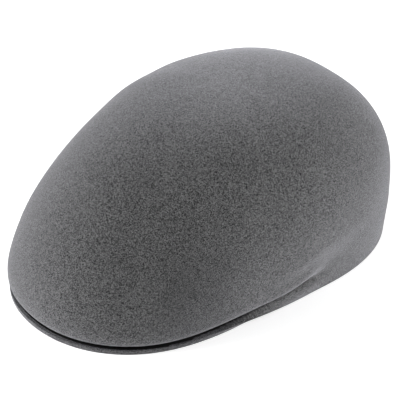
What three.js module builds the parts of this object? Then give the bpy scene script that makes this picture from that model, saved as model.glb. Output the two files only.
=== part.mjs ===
// An ascot cap, blocked from one piece of wool felt. The crown is a hard, full dome. At the front it
// rolls over and is tucked back under itself to the head, and from that fold the same felt comes
// forward again as the peak, so that the crown overhangs a thin lip. The fold runs out above the ears,
// and behind them the felt falls straight from the crown to the cut rim.
//
// Millimetres, +Z up, the peak to -Y. The sections turn about the middle of the head opening, and at the
// end the cap is moved so that the origin is under the middle of it, in the plane of the rim.
import * as THREE from "three";

// The felt, and the head opening measured inside it. The opening's power is 2 for an ellipse, and more
// for a squarer oval.
const felt = 2.8;
const headLength = 198;
const headWidth = 154;
const headPower = 2.4;

// The crown: its height above the rim, how far its top lies in front of the middle of the head, how far
// it swells out beyond the rim, and how high its widest place is.
const crownHeight = 116;
const topForward = 4;
const crownSwell = 8;
const swellHeight = 46;

// The peak: how far its edge stands out from the head opening, and how much higher it is at the fold.
const peakReach = 54;
const peakRise = 5;

// The fold: the gap between its two layers, and the places round its half circle in degrees from its
// depth. It goes in to the head, or where the roll is too near to the head for that, its least tuck in
// from the roll, and the one depth passes into the other over the ease.
const foldGap = 1.2;
const foldTurns = [90, 45, 0, -45, -90];
const leastTuck = 5;
const tuckEase = 3;

// The roll above the fold: how far the crown turns in there. The place on its shoulder has turned in by
// less than its share of the height, and a place under the roll, where it has become the fold's straight
// upper layer, is named by its share of the way in to the fold.
const rollTurn = 4;
const shoulderInShare = 0.8;
const underShare = 0.4;

// The band behind the fold: how high the crown's swell starts above the rim.
const bandHeight = 24;

// How finely the felt is faceted: the sections all round, the steps from the top of the crown to its
// widest place, and the longest step in the roll, the fold and the peak.
const sectionsRound = 64;
const domeSteps = 14;
const hemStep = 6.4;
const fewestSteps = 2;

// Sections of the cap by their angle from the front in degrees, the same on the left and the right. The
// columns are named in their order.
// reach: how far the edge stands out from the head, as a share of peakReach
// lift: how high the middle of the felt's edge lies, as a share of felt, a little low where it is cut flat
// fold: how far the felt is tucked in to the head, 1 for all the way and 0 for a straight band
// band: how high the crown's roll starts above the fold's own layers, as a share of bandHeight
// turn: how far the crown's roll turns in, as a share of rollTurn
// shoulder: how high a place on the roll's shoulder is, as a share of the way up to the widest place
// swell: how far the crown stands out beyond the edge, as a share of crownSwell
// widest: how high the crown is widest, as a share of swellHeight
// flank: the power of the crown's curve low down, where less is straighter and 2 is an ellipse
// top: the power of the crown's curve near its top, where more is flatter
const columnNames = [
  "angle", "reach", "lift", "fold", "band", "turn", "shoulder", "swell", "widest", "flank", "top",
];
const sections = [
  [0, 1, 0.45, 1, 0, 1, 0.25, -0.1, 0.28, 1.45, 2.4],
  [30, 0.64, 0.45, 1, 0, 1, 0.25, -0.1, 0.28, 1.5, 2.5],
  [45, 0.31, 0.45, 1, 0.04, 0.85, 0.25, -0.15, 0.32, 1.9, 2.7],
  [60, 0.11, 0.45, 1, 0.2, 0.6, 0.3, 0.25, 0.5, 2.3, 2.7],
  [75, 0.03, 0.3, 0.8, 0.36, 0.7, 0.45, 0.7, 0.65, 2.4, 2.5],
  [90, 0, 0.1, 0.2, 0.52, 1.2, 0.5, 0.9, 0.8, 2.4, 2.4],
  [110, 0, 0, 0, 0.72, 0.7, 0.5, 0.65, 0.88, 2.4, 2.3],
  [140, 0, -0.1, 0, 0.8, 0.1, 0.4, 0.33, 0.9, 2.3, 2.35],
  [180, 0, -0.1, 0, 0.8, 0.2, 0.4, 0.3, 0.9, 2.1, 2.5],
];

// A cubic spline through the values at the places, with a known slope at its start, and at its end
// either a known slope or, where that is null, no curvature. It gives a function of the place.
function spline(places, values, startSlope, endSlope) {
  const last = places.length - 1;
  const gap = (i) => places[i + 1] - places[i];
  const rise = (i) => (values[i + 1] - values[i]) / gap(i);
  // One equation for the slope at each place, solved from the start and back again.
  const across = [0];
  const slopes = [startSlope];
  for (let i = 1; i < last; i++) {
    const before = 1 / gap(i - 1);
    const after = 1 / gap(i);
    const pivot = 2 * (before + after) - before * across[i - 1];
    across.push(after / pivot);
    slopes.push((3 * (rise(i - 1) * before + rise(i) * after) - before * slopes[i - 1]) / pivot);
  }
  slopes.push(endSlope ?? (3 * rise(last - 1) - slopes[last - 1]) / (2 - across[last - 1]));
  for (let i = last - 1; i > 0; i--) slopes[i] -= across[i] * slopes[i + 1];
  return (place) => {
    const i = Math.min(last - 1, Math.max(0, places.findLastIndex((p) => p <= place)));
    const t = (place - places[i]) / gap(i);
    const leaving = slopes[i] * gap(i) - (values[i + 1] - values[i]);
    const arriving = (values[i + 1] - values[i]) - slopes[i + 1] * gap(i);
    return values[i] + t * (values[i + 1] - values[i]) + t * (1 - t) * (leaving * (1 - t) + arriving * t);
  };
}

// The table's columns as smooth functions of the angle, level at the front and at the back.
const angles = sections.map((row) => row[0]);
const columns = {};
columnNames.forEach((name, i) => {
  columns[name] = spline(angles, sections.map((row) => row[i]), 0, 0);
});

// How far the middle of the felt stands from the axis, all round the head opening.
function headLine(turnedBy) {
  const along = Math.abs(Math.cos(turnedBy)) / ((headLength + felt) / 2);
  const across = Math.sin(turnedBy) / ((headWidth + felt) / 2);
  return Math.pow(Math.pow(along, headPower) + Math.pow(across, headPower), -1 / headPower);
}

// The places that the middle of the felt runs through in one section, from the crown's widest place
// round the roll, in to the fold and out to the edge: x is out from the axis, y is up. Where the fold
// runs out, its places come to lie on the straight line from the roll to the edge.
function hemPlaces(turnedBy) {
  const at = (name) => columns[name](THREE.MathUtils.radToDeg(turnedBy));
  const layers = felt + foldGap;
  const head = headLine(turnedBy);
  const edge = new THREE.Vector2(head + peakReach * at("reach"), felt * at("lift"));
  const widest = new THREE.Vector2(edge.x + crownSwell * at("swell"), swellHeight * at("widest"));
  const roll = new THREE.Vector2(widest.x - rollTurn * at("turn"), edge.y + layers + bandHeight * at("band"));
  const shoulder = new THREE.Vector2(
    THREE.MathUtils.lerp(widest.x, roll.x, at("shoulder") * shoulderInShare),
    THREE.MathUtils.lerp(roll.y, widest.y, at("shoulder")),
  );
  const spare = roll.x - leastTuck - head;
  const foldDepth = head + (spare - Math.hypot(spare, tuckEase)) / 2;
  const foldHeight = roll.y - layers / 2 + peakRise * at("reach");
  const fold = foldTurns.map((degrees) => {
    const turn = THREE.MathUtils.degToRad(degrees);
    const side = Math.sin(turn) * layers / 2;
    const inward = (1 - Math.cos(turn)) * layers / 2;
    const straight = edge.clone().sub(roll).setLength(layers - side).add(roll);
    const tucked = new THREE.Vector2(foldDepth + inward, foldHeight + side);
    return straight.lerp(tucked, at("fold"));
  });
  const under = roll.clone().lerp(fold[0], underShare);
  return [widest, shoulder, roll, under, ...fold, edge];
}

// How many steps each span between those places gets, from the longer of the front's and the back's.
function stepsInSpans() {
  const lengths = [0, Math.PI].map((turnedBy) => {
    const places = hemPlaces(turnedBy);
    return places.slice(1).map((place, i) => place.distanceTo(places[i]));
  });
  return lengths[0].map((front, i) => {
    const longest = Math.max(front, lengths[1][i]);
    return Math.max(fewestSteps, Math.ceil(longest / hemStep));
  });
}
const spanSteps = stepsInSpans();

// The top of the crown, in the middle of the felt.
const crownTop = new THREE.Vector3(0, -topForward, crownHeight - felt / 2);

// The line of the middle of the felt in one section, from near the top of the crown to the edge. The
// angle goes all the way round from the front.
function sectionLine(angle) {
  const turnedBy = Math.min(angle, 2 * Math.PI - angle);
  const at = (name) => columns[name](THREE.MathUtils.radToDeg(turnedBy));
  const placed = (out, up) => new THREE.Vector3(out * Math.sin(angle), -out * Math.cos(angle), up);
  const places = hemPlaces(turnedBy);
  const widest = placed(places[0].x, places[0].y);
  const line = [];
  for (let i = 1; i < domeSteps; i++) {
    const along = (i / domeSteps) * Math.PI / 2;
    const p = crownTop.clone().lerp(widest, Math.pow(Math.sin(along), 2 / at("top")));
    p.z = widest.z + (crownTop.z - widest.z) * Math.pow(Math.cos(along), 2 / at("flank"));
    line.push(p);
  }
  line.push(widest);
  const chord = [0];
  for (let i = 1; i < places.length; i++) chord.push(chord[i - 1] + places[i].distanceTo(places[i - 1]));
  const out = spline(chord, places.map((p) => p.x), 0, null);
  const up = spline(chord, places.map((p) => p.y), -1, null);
  spanSteps.forEach((steps, span) => {
    for (let i = 1; i <= steps; i++) {
      const place = THREE.MathUtils.lerp(chord[span], chord[span + 1], i / steps);
      line.push(placed(out(place), up(place)));
    }
  });
  return line;
}

// The middle of the felt as lines of points, one line for each section, and the way out of the felt at
// each point, square to it.
function middleOfTheFelt() {
  const lines = [];
  for (let k = 0; k < sectionsRound; k++) lines.push(sectionLine((k / sectionsRound) * 2 * Math.PI));
  const outward = lines.map((line, k) => line.map((p, j) => {
    const before = lines[(k + sectionsRound - 1) % sectionsRound][j];
    const after = lines[(k + 1) % sectionsRound][j];
    const arriving = p.clone().sub(j > 0 ? line[j - 1] : crownTop);
    const leaving = j < line.length - 1 ? line[j + 1].clone().sub(p) : arriving;
    // The nearer of the two neighbours says more about the way down at this point.
    const down = arriving.clone().multiplyScalar(leaving.lengthSq());
    down.addScaledVector(leaving, arriving.lengthSq());
    return down.cross(after.clone().sub(before)).normalize();
  }));
  return { lines, outward };
}

// The felt itself: an outer and an inner skin, half a thickness either side of its middle, joined round
// the cut edge. What would lie under the plane that the cap rests on is cut off flat there.
function feltShell() {
  const { lines, outward } = middleOfTheFelt();
  const rings = lines[0].length;
  const points = [];
  for (const offset of [felt / 2, -felt / 2]) {
    points.push(crownTop.clone().add(new THREE.Vector3(0, 0, offset)));
    lines.forEach((line, k) => line.forEach((p, j) => {
      const q = p.clone().addScaledVector(outward[k][j], offset);
      q.z = Math.max(q.z, 0);
      points.push(q);
    }));
  }
  // Each skin is its own top point and then its sections, one after the other.
  const skin = 1 + sectionsRound * rings;
  const outer = (k, j) => 1 + (k % sectionsRound) * rings + j;
  const inner = (k, j) => skin + outer(k, j);
  const faces = [];
  const addSquare = (a, b, c, d) => faces.push(a, b, c, a, c, d);
  for (let k = 0; k < sectionsRound; k++) {
    faces.push(0, outer(k, 0), outer(k + 1, 0));
    faces.push(skin, inner(k + 1, 0), inner(k, 0));
    for (let j = 0; j < rings - 1; j++) {
      addSquare(outer(k, j), outer(k, j + 1), outer(k + 1, j + 1), outer(k + 1, j));
      addSquare(inner(k, j), inner(k + 1, j), inner(k + 1, j + 1), inner(k, j + 1));
    }
    const rim = rings - 1;
    addSquare(outer(k, rim), inner(k, rim), inner(k + 1, rim), outer(k + 1, rim));
  }
  const shell = new THREE.BufferGeometry().setFromPoints(points);
  shell.setIndex(faces);
  return shell;
}

const shell = feltShell();
shell.computeBoundingBox();
const middle = shell.boundingBox.getCenter(new THREE.Vector3());
shell.translate(-middle.x, -middle.y, -shell.boundingBox.min.z);
shell.computeVertexNormals();

const greyFelt = new THREE.MeshStandardMaterial({ color: 0x6b6b6c, roughness: 0.95, metalness: 0 });
const cap = new THREE.Group();
const feltBody = new THREE.Mesh(shell, greyFelt);
feltBody.name = "felt_body";
cap.add(feltBody);

export default cap;
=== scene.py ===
# %% [markdown]
# # An ascot cap in grey wool felt
# The cap is one piece of felt: a hood of wool that was steamed, pulled over a wooden block, and
# tucked back under itself at the front to make a thin peak. There is no seam, stitch or button on it.
# This notebook makes the hood, blocks it, gives the felt its thickness, its nap and its grey wool
# finish, and then lights it like a photograph on a white table.
#
# The imported CAD model is loaded first. It is the frame that each piece has to fit.

# %% Load the frame
import math

import bmesh
import bpy
import numpy as np
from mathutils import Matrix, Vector
from mathutils.bvhtree import BVHTree


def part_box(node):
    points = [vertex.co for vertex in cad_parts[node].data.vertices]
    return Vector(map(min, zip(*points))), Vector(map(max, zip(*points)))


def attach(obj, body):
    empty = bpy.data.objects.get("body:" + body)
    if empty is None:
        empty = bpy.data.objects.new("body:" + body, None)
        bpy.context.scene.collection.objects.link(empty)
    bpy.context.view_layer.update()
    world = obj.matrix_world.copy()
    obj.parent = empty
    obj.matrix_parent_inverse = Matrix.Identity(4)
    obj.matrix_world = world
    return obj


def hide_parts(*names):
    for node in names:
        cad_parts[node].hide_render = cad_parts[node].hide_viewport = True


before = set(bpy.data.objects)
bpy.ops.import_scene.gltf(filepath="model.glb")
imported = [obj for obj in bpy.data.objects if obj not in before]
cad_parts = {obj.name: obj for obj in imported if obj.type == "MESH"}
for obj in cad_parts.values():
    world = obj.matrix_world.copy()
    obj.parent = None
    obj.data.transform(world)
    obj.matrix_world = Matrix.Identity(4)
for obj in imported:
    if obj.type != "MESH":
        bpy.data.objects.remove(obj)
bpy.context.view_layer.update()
MM = 0.001

# %% [markdown]
# ## The camera
# The photograph looks down on the cap from its front left corner, from far away, so the outline is
# nearly free of perspective. A long lens at 1.3 m does the same. The camera is aimed a little below
# the middle of the cap, because the cap sits a little high in the picture. Aiming is better than
# shifting the lens, because other views of the scene keep a shift.

# %% Camera
PICTURE_SIDE = 400
CAMERA_TURN = math.radians(51.3)
CAMERA_RISE = math.radians(33.1)
CAMERA_AWAY = 1.3
CAP_MIDDLE = Vector((0, 0, 0.05))
AIM_BELOW = 0.0106
PIXELS_PER_METRE = 1610
SENSOR_MM = 36
NEAREST = 0.05
FARTHEST = 20

towards_camera = Vector((
    math.sin(CAMERA_TURN) * math.cos(CAMERA_RISE),
    -math.cos(CAMERA_TURN) * math.cos(CAMERA_RISE),
    math.sin(CAMERA_RISE),
))
picture_right = Vector((math.cos(CAMERA_TURN), math.sin(CAMERA_TURN), 0))
picture_up = towards_camera.cross(picture_right)
camera_place = CAP_MIDDLE + towards_camera * CAMERA_AWAY
aim = CAP_MIDDLE - picture_up * AIM_BELOW

bpy.ops.object.camera_add(location=camera_place)
camera = bpy.context.object
camera.name = "camera"
camera.rotation_euler = (aim - camera_place).to_track_quat("-Z", "Y").to_euler()
camera.data.sensor_width = SENSOR_MM
camera.data.lens = PIXELS_PER_METRE * CAMERA_AWAY * SENSOR_MM / PICTURE_SIDE
camera.data.clip_start = NEAREST
camera.data.clip_end = FARTHEST
bpy.context.scene.camera = camera
print("lens in mm:", round(camera.data.lens, 1))

# %% [markdown]
# ## The block
# A hatter works over a block, a wooden form with the shape of the finished hat. Here the block is a
# set of lines, one for each direction round the head opening, from the top of the crown down to the
# cut edge of the felt. Each line is worked out from a few sizes and from one short table of shares,
# which are the same as in the CAD model, so the finished cap lies where the CAD model is.
#
# The table could be replaced by sculpting, but a line that is worked out stays smooth at any number
# of faces, and the fold can't cut into itself.

# %% Sizes of the block
FELT = 2.8 * MM
HEAD_LENGTH = 198 * MM
HEAD_WIDTH = 154 * MM
HEAD_POWER = 2.4
CROWN_HEIGHT = 116 * MM
TOP_FORWARD = 4 * MM
CROWN_SWELL = 8 * MM
SWELL_HEIGHT = 46 * MM
PEAK_REACH = 54 * MM
PEAK_RISE = 5 * MM
FOLD_GAP = 1.2 * MM
FOLD_TURNS = [90, 45, 0, -45, -90]
LEAST_TUCK = 5 * MM
TUCK_EASE = 3 * MM
ROLL_TURN = 4 * MM
SHOULDER_IN_SHARE = 0.8
UNDER_SHARE = 0.4
BAND_HEIGHT = 24 * MM

COLUMN_NAMES = [
    "angle", "reach", "lift", "fold", "band", "turn", "shoulder", "swell", "widest", "flank", "top",
]
SECTIONS = np.array([
    [0, 1, 0.45, 1, 0, 1, 0.25, -0.1, 0.28, 1.45, 2.4],
    [30, 0.64, 0.45, 1, 0, 1, 0.25, -0.1, 0.28, 1.5, 2.5],
    [45, 0.31, 0.45, 1, 0.04, 0.85, 0.25, -0.15, 0.32, 1.9, 2.7],
    [60, 0.11, 0.45, 1, 0.2, 0.6, 0.3, 0.25, 0.5, 2.3, 2.7],
    [75, 0.03, 0.3, 0.8, 0.36, 0.7, 0.45, 0.7, 0.65, 2.4, 2.5],
    [90, 0, 0.1, 0.2, 0.52, 1.2, 0.5, 0.9, 0.8, 2.4, 2.4],
    [110, 0, 0, 0, 0.72, 0.7, 0.5, 0.65, 0.88, 2.4, 2.3],
    [140, 0, -0.1, 0, 0.8, 0.1, 0.4, 0.33, 0.9, 2.3, 2.35],
    [180, 0, -0.1, 0, 0.8, 0.2, 0.4, 0.3, 0.9, 2.1, 2.5],
])
print("block of", len(SECTIONS), "named sections")

# %% [markdown]
# A curve through a few places should bend like a thin strip of wood, with no corner and no sudden
# change of bend. That is a cubic spline. Its slope at each place is found from one equation for each
# place, and between two places it is a plain cubic. A slope at an end is given, or left free.

# %% A smooth curve through places
def spline(places, values, start_slope, end_slope):
    places = np.array(places, float)
    values = np.array(values, float)
    last = len(places) - 1
    gap = np.diff(places)
    rise = np.diff(values) / gap
    left = np.zeros((last + 1, last + 1))
    right = np.zeros(last + 1)
    left[0, 0] = 1
    right[0] = start_slope
    for i in range(1, last):
        left[i, i - 1] = 1 / gap[i - 1]
        left[i, i] = 2 / gap[i - 1] + 2 / gap[i]
        left[i, i + 1] = 1 / gap[i]
        right[i] = 3 * (rise[i - 1] / gap[i - 1] + rise[i] / gap[i])
    if end_slope is None:
        left[last, last - 1:] = [1, 2]
        right[last] = 3 * rise[last - 1]
    else:
        left[last, last] = 1
        right[last] = end_slope
    slopes = np.linalg.solve(left, right)

    def at(place):
        i = int(np.clip(np.searchsorted(places, place, side="right") - 1, 0, last - 1))
        t = (place - places[i]) / gap[i]
        step = values[i + 1] - values[i]
        leaving = slopes[i] * gap[i] - step
        arriving = step - slopes[i + 1] * gap[i]
        return values[i] + t * step + t * (1 - t) * (leaving * (1 - t) + arriving * t)

    return at


columns = {
    name: spline(SECTIONS[:, 0], SECTIONS[:, i], 0, 0) for i, name in enumerate(COLUMN_NAMES)
}
print("half way round to the side, the peak reaches", round(columns["reach"](45) * PEAK_REACH / MM), "mm")

# %% [markdown]
# The head opening is an oval, a little squarer than an ellipse. Below the crown's widest place, each
# line rolls in, runs under the crown to the fold, turns back round a small half circle, and comes out
# again as the peak. Towards the ears the fold runs out, and its places come to lie on a straight line.

# %% The places that a line runs through below the crown
def head_line(turned_by):
    along = abs(math.cos(turned_by)) / ((HEAD_LENGTH + FELT) / 2)
    across = math.sin(turned_by) / ((HEAD_WIDTH + FELT) / 2)
    return (along**HEAD_POWER + across**HEAD_POWER) ** (-1 / HEAD_POWER)


def mix(a, b, share):
    return a + (b - a) * share


def hem_places(turned_by):
    here = {name: column(math.degrees(turned_by)) for name, column in columns.items()}
    layers = FELT + FOLD_GAP
    head = head_line(turned_by)
    edge = np.array([head + PEAK_REACH * here["reach"], FELT * here["lift"]])
    widest = np.array([edge[0] + CROWN_SWELL * here["swell"], SWELL_HEIGHT * here["widest"]])
    roll = np.array([
        widest[0] - ROLL_TURN * here["turn"],
        edge[1] + layers + BAND_HEIGHT * here["band"],
    ])
    shoulder = np.array([
        mix(widest[0], roll[0], here["shoulder"] * SHOULDER_IN_SHARE),
        mix(roll[1], widest[1], here["shoulder"]),
    ])
    spare = roll[0] - LEAST_TUCK - head
    fold_depth = head + (spare - math.hypot(spare, TUCK_EASE)) / 2
    fold_height = roll[1] - layers / 2 + PEAK_RISE * here["reach"]
    way_down = (edge - roll) / np.linalg.norm(edge - roll)
    fold = []
    for degrees in FOLD_TURNS:
        turn = math.radians(degrees)
        side = math.sin(turn) * layers / 2
        inward = (1 - math.cos(turn)) * layers / 2
        straight = roll + way_down * (layers - side)
        tucked = np.array([fold_depth + inward, fold_height + side])
        fold.append(mix(straight, tucked, here["fold"]))
    under = mix(roll, fold[0], UNDER_SHARE)
    return np.array([widest, shoulder, roll, under, *fold, edge])


print("places below the crown:", len(hem_places(0)))

# %% [markdown]
# One whole line is the dome, from the top of the crown down to its widest place, and then the curve
# through those places. The dome is an arc of two powers: one says how flat it is near the top, and
# the other how straight it falls low down. The steps are short where the felt bends sharply, in the
# roll and in the fold.

# %% One line of the block
DOME_STEPS = 60
HEM_STEPS = [10, 6, 10, 12, 3, 3, 3, 3, 26]
RINGS = DOME_STEPS + sum(HEM_STEPS)
SEGMENTS = 192
CROWN_TOP = np.array([0, -TOP_FORWARD, CROWN_HEIGHT - FELT / 2])


def section_line(angle):
    turned_by = min(angle, 2 * math.pi - angle)
    way_out = np.array([math.sin(angle), -math.cos(angle)])
    flank = columns["flank"](math.degrees(turned_by))
    top = columns["top"](math.degrees(turned_by))
    places = hem_places(turned_by)
    widest = np.array([*(way_out * places[0][0]), places[0][1]])
    line = []
    for i in range(1, DOME_STEPS + 1):
        along = i / DOME_STEPS * math.pi / 2
        point = mix(CROWN_TOP, widest, math.sin(along) ** (2 / top))
        point[2] = mix(widest[2], CROWN_TOP[2], max(0, math.cos(along)) ** (2 / flank))
        line.append(point)
    chord = np.concatenate([[0], np.cumsum(np.linalg.norm(np.diff(places, axis=0), axis=1))])
    out = spline(chord, places[:, 0], 0, None)
    up = spline(chord, places[:, 1], -1, None)
    for span, steps in enumerate(HEM_STEPS):
        for i in range(1, steps + 1):
            place = mix(chord[span], chord[span + 1], i / steps)
            line.append(np.array([*(way_out * out(place)), up(place)]))
    return line


block = np.array([section_line(k / SEGMENTS * 2 * math.pi) for k in range(SEGMENTS)])
print("block lines:", block.shape[0], "with", block.shape[1], "points each")

# %% [markdown]
# ## The felt hood
# Felt comes to the hatter as a hood, a rough dome with no seam. So the piece starts as a UV sphere,
# whose rings and segments run the way that the felt is pulled. The lower half is cut away in edit
# mode, the open hood is checked, and then each of its rings is pulled down on the block.

# %% A helper that leaves nothing selected
def clear_selection():
    if bpy.context.object and bpy.context.object.mode != "OBJECT":
        bpy.ops.object.mode_set(mode="OBJECT")
    bpy.ops.object.select_all(action="DESELECT")


# %% Make the hood
HOOD_RADIUS = 0.1
WELD_WITHIN = 1e-6

clear_selection()
bpy.ops.mesh.primitive_uv_sphere_add(
    segments=SEGMENTS, ring_count=2 * RINGS, radius=HOOD_RADIUS, location=(0, 0, 0)
)
felt = bpy.context.object
felt.name = "felt"
felt.data.name = "felt"
bpy.ops.object.mode_set(mode="EDIT")
bpy.ops.mesh.select_all(action="DESELECT")
mesh = bmesh.from_edit_mesh(felt.data)
half_step = HOOD_RADIUS * math.pi / RINGS / 4
for vertex in mesh.verts:
    vertex.select_set(vertex.co.z < -half_step)
mesh.select_flush(True)
bmesh.update_edit_mesh(felt.data)
bpy.ops.mesh.delete(type="VERT")
bpy.ops.mesh.select_all(action="SELECT")
bpy.ops.mesh.remove_doubles(threshold=WELD_WITHIN)
bpy.ops.mesh.normals_make_consistent(inside=False)
bpy.ops.object.mode_set(mode="OBJECT")
print("hood:", len(felt.data.vertices), "points, expected", RINGS * SEGMENTS + 1)

# %% [markdown]
# Each point of the hood knows its ring from how far it lies from the pole, and its segment from its
# direction. The same ring of the same segment on the block is its new place.

# %% Pull the hood on the block
for vertex in felt.data.vertices:
    from_pole = math.acos(max(-1, min(1, vertex.co.z / HOOD_RADIUS)))
    ring = round(from_pole / (math.pi / 2) * RINGS)
    turned = math.atan2(vertex.co.x, -vertex.co.y) % (2 * math.pi)
    segment = round(turned / (2 * math.pi) * SEGMENTS) % SEGMENTS
    vertex.co = CROWN_TOP if ring == 0 else block[segment, ring - 1]

edge_reach = block[:, -1, 1]
print("edge from", round(edge_reach.min() / MM, 1), "to", round(edge_reach.max() / MM, 1), "mm")

# %% [markdown]
# ## Blocked by hand
# No felt hat is as even as a drawing. The steam and the hands leave waves of a few tenths of a
# millimetre, a few centimetres long. A Displace modifier with a cloud texture pushes the felt in and
# out by that much. It fades out towards the cut edge, which stays flat on the table.

# %% Waves in the felt
WAVE_LENGTH = 0.045
WAVE_HEIGHT = 0.0011
STILL_BELOW = 2 * MM
WAVES_FROM = 14 * MM

waves = bpy.data.textures.new("hand waves", "CLOUDS")
waves.noise_scale = WAVE_LENGTH
waves.noise_depth = 1
crown_group = felt.vertex_groups.new(name="crown")
for vertex in felt.data.vertices:
    share = (vertex.co.z - STILL_BELOW) / (WAVES_FROM - STILL_BELOW)
    crown_group.add([vertex.index], max(0, min(1, share)), "REPLACE")
displace = felt.modifiers.new("hand waves", "DISPLACE")
displace.texture = waves
displace.texture_coords = "LOCAL"
displace.strength = WAVE_HEIGHT
displace.mid_level = 0.5
displace.vertex_group = crown_group.name
clear_selection()
felt.select_set(True)
bpy.context.view_layer.objects.active = felt
bpy.ops.object.modifier_apply(modifier=displace.name)
print("waves up to", WAVE_HEIGHT / 2 / MM, "mm in or out")

# %% [markdown]
# ## The thickness of the felt
# Solidify gives the hood its wall, half to each side, because the block's lines are the middle of the
# felt. It also puts the points of the cut edge in a vertex group, which the finish needs later. The
# wall's normals already point outwards, and they aren't recalculated after this, because on a closed
# shell that could turn the inner wall round. What would stick out below the rim is then pressed flat
# on the table, like the rim of the real cap, and the cap is moved to where the CAD's is.

# %% Give the felt its wall
solidify = felt.modifiers.new("wall", "SOLIDIFY")
solidify.thickness = FELT
solidify.offset = 0
solidify.use_even_offset = False
solidify.use_quality_normals = True
cut_group = felt.vertex_groups.new(name="cut edge")
solidify.rim_vertex_group = cut_group.name
bpy.ops.object.modifier_apply(modifier=solidify.name)
for vertex in felt.data.vertices:
    vertex.co.z = max(0, vertex.co.z)

low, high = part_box("felt_body")
front = min(vertex.co.y for vertex in felt.data.vertices)
move_back = low[1] - front
for vertex in felt.data.vertices:
    vertex.co.y += move_back
print("head axis at y", round(move_back / MM, 2), "mm; felt has", len(felt.data.polygons), "faces")

# %% [markdown]
# ## The cut edge
# The rim is cut with a blade and then rubbed down, so its two corners are a little round. The two
# sharp loops of edges there are found by the angle between their faces, and bevelled. The printed
# counts differ, because the same test also picks edges in the tight ends of the fold, above the ears,
# and bevelling those leaves some very small faces there. Picking the edges by the vertex group of the
# cut edge would leave them out.

# %% Round the cut edge
EDGE_ROUND = 1.1 * MM
EDGE_STEPS = 4
SHARP = math.radians(50)

bpy.ops.object.mode_set(mode="EDIT")
bpy.ops.mesh.select_all(action="DESELECT")
bpy.ops.mesh.select_mode(type="EDGE")
mesh = bmesh.from_edit_mesh(felt.data)
sharp_edges = [
    edge for edge in mesh.edges if edge.is_manifold and edge.calc_face_angle() > SHARP
]
for edge in sharp_edges:
    edge.select_set(True)
bmesh.update_edit_mesh(felt.data)
bpy.ops.mesh.bevel(offset=EDGE_ROUND, segments=EDGE_STEPS, profile=0.5, clamp_overlap=True)
bpy.ops.mesh.select_mode(type="VERT")
bpy.ops.object.mode_set(mode="OBJECT")
bpy.ops.object.shade_smooth()
print("rounded", len(sharp_edges), "edges; two loops would be", 2 * SEGMENTS)

# %% [markdown]
# ## Painted shade in the fold
# The felt is brushed after it is blocked, which raises pale hairs. Little light gets into the fold, and
# its shade is painted into the colour of the felt. How deep a point lies is found by looking from it
# in many directions, and counting how often there is felt within a few millimetres. The fold could be
# picked by its height instead, but its height and depth change from the front to the sides.
#
# The directions are spread evenly over a ball: equal steps of height, each turned by the golden angle.

# %% Directions to look in
LOOK_DIRECTIONS = 96
GOLDEN_TURN = math.pi * (3 - math.sqrt(5))

looks = []
for i in range(LOOK_DIRECTIONS):
    height = 1 - (2 * i + 1) / LOOK_DIRECTIONS
    ring_radius = math.sqrt(1 - height * height)
    looks.append(Vector((
        ring_radius * math.cos(i * GOLDEN_TURN), ring_radius * math.sin(i * GOLDEN_TURN), height
    )))
print("directions to look in:", len(looks))

# %% Look round from each low point
LOOK_FAR = 7 * MM
LOOK_BELOW = 45 * MM
STAND_OFF = 0.15 * MM
LEAST_LEAN_OUT = 0.1

skin = BVHTree.FromPolygons(
    [vertex.co for vertex in felt.data.vertices], [face.vertices for face in felt.data.polygons]
)


def shelter(vertex):
    if vertex.co.z >= LOOK_BELOW:
        return 0
    start = vertex.co + vertex.normal * STAND_OFF
    ahead = [look for look in looks if look.dot(vertex.normal) > LEAST_LEAN_OUT]
    met = sum(1 for look in ahead if skin.ray_cast(start, look, LOOK_FAR)[0] is not None)
    return met / len(ahead)


shares = [shelter(vertex) for vertex in felt.data.vertices]
print("most sheltered point:", round(max(shares), 2))

# %% [markdown]
# What was found is kept on the mesh in a colour attribute, which the material reads and an export
# keeps. Its red is the shelter, which drives the painted shade in the fold. Its green marks the cut edge,
# which gets a painted highlight. Its blue marks the two corners beside the peak, which get painted
# shade: it comes and goes with the direction round the head, and fades out towards the top. A mark
# could be painted by hand instead, but one that is worked out is the same each time.

# %% Mark the mesh
# Painted shade on the two corners beside the peak: the colour there is darkened.
CORNER_SHADE_FROM = (26, 37)
CORNER_SHADE_TO = (62, 44)
CORNER_SHADE_UP_TO = (90 * MM, 35 * MM)


def ramp(value, start, end):
    share = max(0, min(1, (value - start) / (end - start)))
    return share * share * (3 - 2 * share)


marks = felt.data.color_attributes.new("marks", "FLOAT_COLOR", "POINT")
for vertex, share in zip(felt.data.vertices, shares):
    cut = sum(group.weight for group in vertex.groups if group.group == cut_group.index)
    turned = math.degrees(math.atan2(abs(vertex.co.x), move_back - vertex.co.y))
    shaded = ramp(turned, *CORNER_SHADE_FROM) * ramp(turned, *CORNER_SHADE_TO) * ramp(vertex.co.z, *CORNER_SHADE_UP_TO)
    marks.data[vertex.index].color = (share, cut, shaded, 1)
print("points marked:", len(marks.data))

# %% [markdown]
# The most sheltered faces are also listed, because they get a near-black material of their own further
# on, a painted shadow.

# %% The faces deep in the fold
SHADOW_SHARE = 0.5

shadow_faces = [
    face for face in felt.data.polygons
    if min(shares[i] for i in face.vertices) > SHADOW_SHARE
]
print("faces deep in the fold:", len(shadow_faces))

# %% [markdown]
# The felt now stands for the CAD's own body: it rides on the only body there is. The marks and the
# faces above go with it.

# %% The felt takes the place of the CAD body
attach(felt, "root")
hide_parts("felt_body")

# %% [markdown]
# ## Grey wool felt
# Close up, wool felt is a mat of short curled hairs, some lighter and some darker, so its colour is
# like salt and pepper, finer than a millimetre. Seen flat on it is dark, and along the outline it
# is lighter, because there one looks along the standing hairs. That second look is what sheen is for.
#
# The finish is built from nodes. A few short functions add one node each, with its label, so that the
# steps after them read like a list.

# %% Helpers for a material
def new_material(name):
    material = bpy.data.materials.new(name)
    material.use_nodes = True
    material.node_tree.nodes.clear()
    return material, material.node_tree


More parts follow.
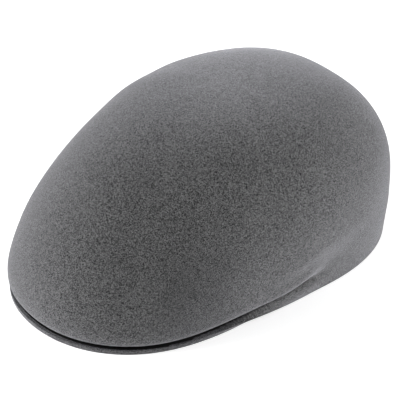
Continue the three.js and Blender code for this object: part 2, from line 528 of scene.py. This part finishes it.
def add_node(tree, kind, label, **settings):
    node = tree.nodes.new(kind)
    node.label = label
    for name, value in settings.items():
        setattr(node, name, value)
    return node


def set_inputs(node, **values):
    for name, value in values.items():
        node.inputs[name.replace("_", " ")].default_value = value


def add_surface(tree, label, **values):
    surface = add_node(tree, "ShaderNodeBsdfPrincipled", label)
    set_inputs(surface, **values)
    output = add_node(tree, "ShaderNodeOutputMaterial", "output")
    tree.links.new(surface.outputs[0], output.inputs["Surface"])
    return surface


# %% Helpers for numbers in a material
def add_math(tree, label, operation, first, second):
    node = add_node(tree, "ShaderNodeMath", label, operation=operation)
    for socket, value in zip(node.inputs, (first, second)):
        if isinstance(value, (int, float)):
            socket.default_value = value
        else:
            tree.links.new(value, socket)
    return node.outputs[0]


def add_range(tree, label, value, came_from, goes_to, **settings):
    node = add_node(tree, "ShaderNodeMapRange", label, **settings)
    set_inputs(node, From_Min=came_from[0], From_Max=came_from[1], To_Min=goes_to[0], To_Max=goes_to[1])
    tree.links.new(value, node.inputs["Value"])
    return node.outputs[0]


def add_noise(tree, coordinates, label, scale):
    node = add_node(tree, "ShaderNodeTexNoise", label)
    set_inputs(node, Scale=scale, Detail=NOISE_DETAIL, Roughness=NOISE_ROUGHNESS)
    tree.links.new(coordinates, node.inputs["Vector"])
    return node.outputs["Fac"]


# %% [markdown]
# Three patterns lie on Object coordinates. A Voronoi texture gives each tuft of wool, less than half a
# millimetre across, a grey of its own. The level lines of a noise are thin curls, which is how single
# hairs look. A slow noise gives the uneven dye. Hairs could be grown one by one instead, but from here
# each would be thinner than one dot of the picture.

# %% Patterns of the wool
TUFTS_PER_METRE = 2400
CURLS_PER_METRE = 1000
DYE_PER_METRE = 24
NOISE_DETAIL = 2
NOISE_ROUGHNESS = 0.5
NOISE_MIDDLE = 0.5
HAIR_WIDTH = 0.05

wool, tree = new_material("grey_wool_felt")
on_cap = add_node(tree, "ShaderNodeTexCoord", "place on the cap").outputs["Object"]
tufts = add_node(tree, "ShaderNodeTexVoronoi", "salt and pepper")
set_inputs(tufts, Scale=TUFTS_PER_METRE)
tree.links.new(on_cap, tufts.inputs["Vector"])
tuft_grey = add_node(tree, "ShaderNodeSeparateColor", "one grey for each tuft")
tree.links.new(tufts.outputs["Color"], tuft_grey.inputs["Color"])
grain = tuft_grey.outputs["Red"]

curls = add_noise(tree, on_cap, "curl field", CURLS_PER_METRE)
above = add_math(tree, "above the level", "SUBTRACT", curls, NOISE_MIDDLE)
from_level = add_math(tree, "distance from the level line", "ABSOLUTE", above, 0)
hairs = add_range(
    tree, "thin hairs", from_level, (0, HAIR_WIDTH), (1, 0), interpolation_type="SMOOTHSTEP"
)
dye = add_noise(tree, on_cap, "uneven dye", DYE_PER_METRE)
print("nodes for the patterns:", len(tree.nodes))

# %% [markdown]
# The patterns are added, each with a weight of its own, and the sum says where the colour lies between
# dark wool and light wool.

# %% From dark wool to light
GRAIN_WEIGHT = 0.7
HAIRS_WEIGHT = 0.4
DYE_WEIGHT = 0.1
LIGHTNESS_RANGE = (0.29, 0.81)
DARK_WOOL = (0.006, 0.006, 0.006, 1)
LIGHT_WOOL = (0.2, 0.2, 0.201, 1)

lightness = add_math(tree, "grain", "MULTIPLY", grain, GRAIN_WEIGHT)
for label, pattern, weight in (("hairs", hairs, HAIRS_WEIGHT), ("dye", dye, DYE_WEIGHT)):
    part = add_math(tree, label, "MULTIPLY", pattern, weight)
    lightness = add_math(tree, "with " + label, "ADD", lightness, part)
blend = add_range(tree, "from dark wool to light", lightness, LIGHTNESS_RANGE, (0, 1))
mixed = add_node(tree, "ShaderNodeMix", "wool colour", data_type="RGBA")
for socket in mixed.inputs:
    if socket.type == "RGBA":
        socket.default_value = DARK_WOOL if socket.name == "A" else LIGHT_WOOL
tree.links.new(blend, mixed.inputs["Factor"])
wool_colour = next(socket for socket in mixed.outputs if socket.type == "RGBA")
print("greys of wool from", DARK_WOOL[0], "to", LIGHT_WOOL[0])

# %% [markdown]
# The marks on the mesh then scale the colour with painted light: painted shade in the fold and on the
# two corners beside the peak, and a painted highlight on the cut edge.

# %% The marks scale the colour
# Painted light: shade in the fold and on two corners, and a highlight on the cut edge.
FOLD_SHADE_RANGE = (0.26, 0.56)
FOLD_PAINTED_SHADE = 0.05
CUT_EDGE_HIGHLIGHT = 3.5
CORNER_PAINTED_SHADE = 0.62

marked = add_node(tree, "ShaderNodeVertexColor", "marks", layer_name="marks")
channels = add_node(tree, "ShaderNodeSeparateColor", "shelter, cut edge and laid hairs")
tree.links.new(marked.outputs["Color"], channels.inputs["Color"])
# Painted shade: the wool colour is darkened where the felt in the fold is occluded.
shade = add_range(
    tree, "dark in the fold", channels.outputs["Red"], FOLD_SHADE_RANGE, (1, FOLD_PAINTED_SHADE),
    interpolation_type="SMOOTHSTEP",
)
# Painted highlight: the colour of the cut edge is made several times lighter.
painted_edge_highlight = add_range(tree, "pale cut edge", channels.outputs["Green"], (0, 1), (1, CUT_EDGE_HIGHLIGHT))
# Painted shade on the two corners beside the peak.
painted_corner_shade = add_range(tree, "hairs laid down", channels.outputs["Blue"], (0, 1), (1, CORNER_PAINTED_SHADE))
shade = add_math(tree, "fold and cut edge", "MULTIPLY", shade, painted_edge_highlight)
shade = add_math(tree, "all three marks", "MULTIPLY", shade, painted_corner_shade)
marked_colour = add_node(tree, "ShaderNodeVectorMath", "marked colour", operation="SCALE")
tree.links.new(wool_colour, marked_colour.inputs[0])
tree.links.new(shade, marked_colour.inputs["Scale"])
print("a laid hair is", CORNER_PAINTED_SHADE, "as light, a cut end", CUT_EDGE_HIGHLIGHT, "times")

# %% [markdown]
# The same mix of tufts and hairs raises a fine bump. The surface itself is rough, with hardly a
# reflection, and with a faintly blue sheen. The sheen is the same all over, because an export drops a
# sheen that comes from a texture.

# %% Bump and sheen of the wool
BUMP_STRENGTH = 0.6
BUMP_HEIGHT = 0.5 * MM

bump = add_node(tree, "ShaderNodeBump", "raised hairs")
set_inputs(bump, Strength=BUMP_STRENGTH, Distance=BUMP_HEIGHT)
tree.links.new(lightness, bump.inputs["Height"])
surface = add_surface(tree, "wool", Roughness=0.95, Sheen_Weight=0.7, Sheen_Roughness=0.45,
                      Sheen_Tint=(0.93, 0.93, 1, 1), Specular_IOR_Level=0.15)
tree.links.new(marked_colour.outputs["Vector"], surface.inputs["Base Color"])
tree.links.new(bump.outputs["Normal"], surface.inputs["Normal"])
print("felt material has", len(tree.nodes), "nodes")

# %% [markdown]
# Deep in the fold the felt takes a second material, nearly black and without sheen, a painted shadow
# that makes the groove under the roll the darkest line on the cap. Sheen could be faded
# out by a mask instead, but a sheen that changes from place to place is lost when the model is
# exported, and a second material is not.

# %% Painted shadow, deep in the fold
FOLD_SHADOW_GREY = (0.014, 0.014, 0.014, 1)

fold_shadow, tree = new_material("painted_fold_shadow")
# Painted shadow: a near-black material without sheen where the fold is deepest.
add_surface(tree, "flat wool", Base_Color=FOLD_SHADOW_GREY, Roughness=1.0, Specular_IOR_Level=0.05)
felt.data.materials.clear()
felt.data.materials.append(wool)
felt.data.materials.append(fold_shadow)
for face in shadow_faces:
    face.material_index = 1
print("felt materials:", [material.name for material in felt.data.materials])

# %% [markdown]
# ## The table
# The photograph is taken in a white studio, on a table that is white from edge to edge. Here it is one
# plane, much wider than the picture. It glows a little from below, as a light table does, so the shadow
# beside the cap stays faint.

# %% Table
TABLE_SIDE = 8
TABLE_WHITE = (0.93, 0.93, 0.93, 1)
TABLE_GLOW = 0.5

clear_selection()
bpy.ops.mesh.primitive_plane_add(size=TABLE_SIDE, location=(0, 0, 0))
table = bpy.context.object
table.name = "table"
white, tree = new_material("white_table")
add_surface(tree, "white", Base_Color=TABLE_WHITE, Roughness=0.9, Specular_IOR_Level=0.1,
            Emission_Color=(1, 1, 1, 1), Emission_Strength=TABLE_GLOW)
table.data.materials.append(white)
print("table", table.dimensions.x, "m wide")

# %% [markdown]
# ## The light
# In the studio light comes from above and from all round, but less of it from where the photographer
# stands, so the corner of the cap that is nearest to the camera is the darkest part of the crown. The
# world here is white and dims smoothly round one direction, which is fixed in the room, so the cap is
# lit in the same way from wherever it is seen.

# %% A white room with one dim side
DARK_RISE = math.radians(26)
DARK_TURN = math.radians(42)
DARK_SIDE = Vector((
    math.sin(DARK_TURN) * math.cos(DARK_RISE),
    -math.cos(DARK_TURN) * math.cos(DARK_RISE),
    math.sin(DARK_RISE),
))
DIM_RANGE = (0.0, 0.9)
WORLD_BRIGHT = 0.66
WORLD_DIM = 0.1

world = bpy.data.worlds.new("white studio")
bpy.context.scene.world = world
world.use_nodes = True
studio = world.node_tree
sky = studio.nodes["Background"]
sky.inputs["Color"].default_value = (1, 1, 1, 1)
direction = add_node(studio, "ShaderNodeTexCoord", "direction").outputs["Generated"]
towards = add_node(studio, "ShaderNodeVectorMath", "towards the dim side", operation="DOT_PRODUCT")
towards.inputs[1].default_value = DARK_SIDE
studio.links.new(direction, towards.inputs[0])
brightness = add_range(
    studio, "brightness", towards.outputs["Value"], DIM_RANGE, (WORLD_BRIGHT, WORLD_DIM),
    interpolation_type="SMOOTHSTEP",
)
studio.links.new(brightness, sky.inputs["Strength"])
print("world from", WORLD_BRIGHT, "down to", WORLD_DIM)

# %% [markdown]
# Two large soft lights, low on the left and on the right, give the crown its pale flanks. One lamp
# above would be simpler, but it leaves the flanks too dark. The Standard view keeps the white of the
# table white.

# %% Two soft lights
LIGHTS = [
    ("left", (-0.95, -1.3, 0.65), 1.0, 33),
    ("right", (1.0, 0.9, 0.45), 0.9, 16),
]

for name, stand, size, watts in LIGHTS:
    bpy.ops.object.light_add(type="AREA", location=stand)
    light = bpy.context.object
    light.name = name
    light.data.shape = "DISK"
    light.data.size = size
    light.data.energy = watts
    light.rotation_euler = (CAP_MIDDLE - Vector(stand)).to_track_quat("-Z", "Y").to_euler()

scene = bpy.context.scene
scene.view_settings.view_transform = "Standard"
scene.view_settings.look = "None"
scene.view_settings.exposure = 0
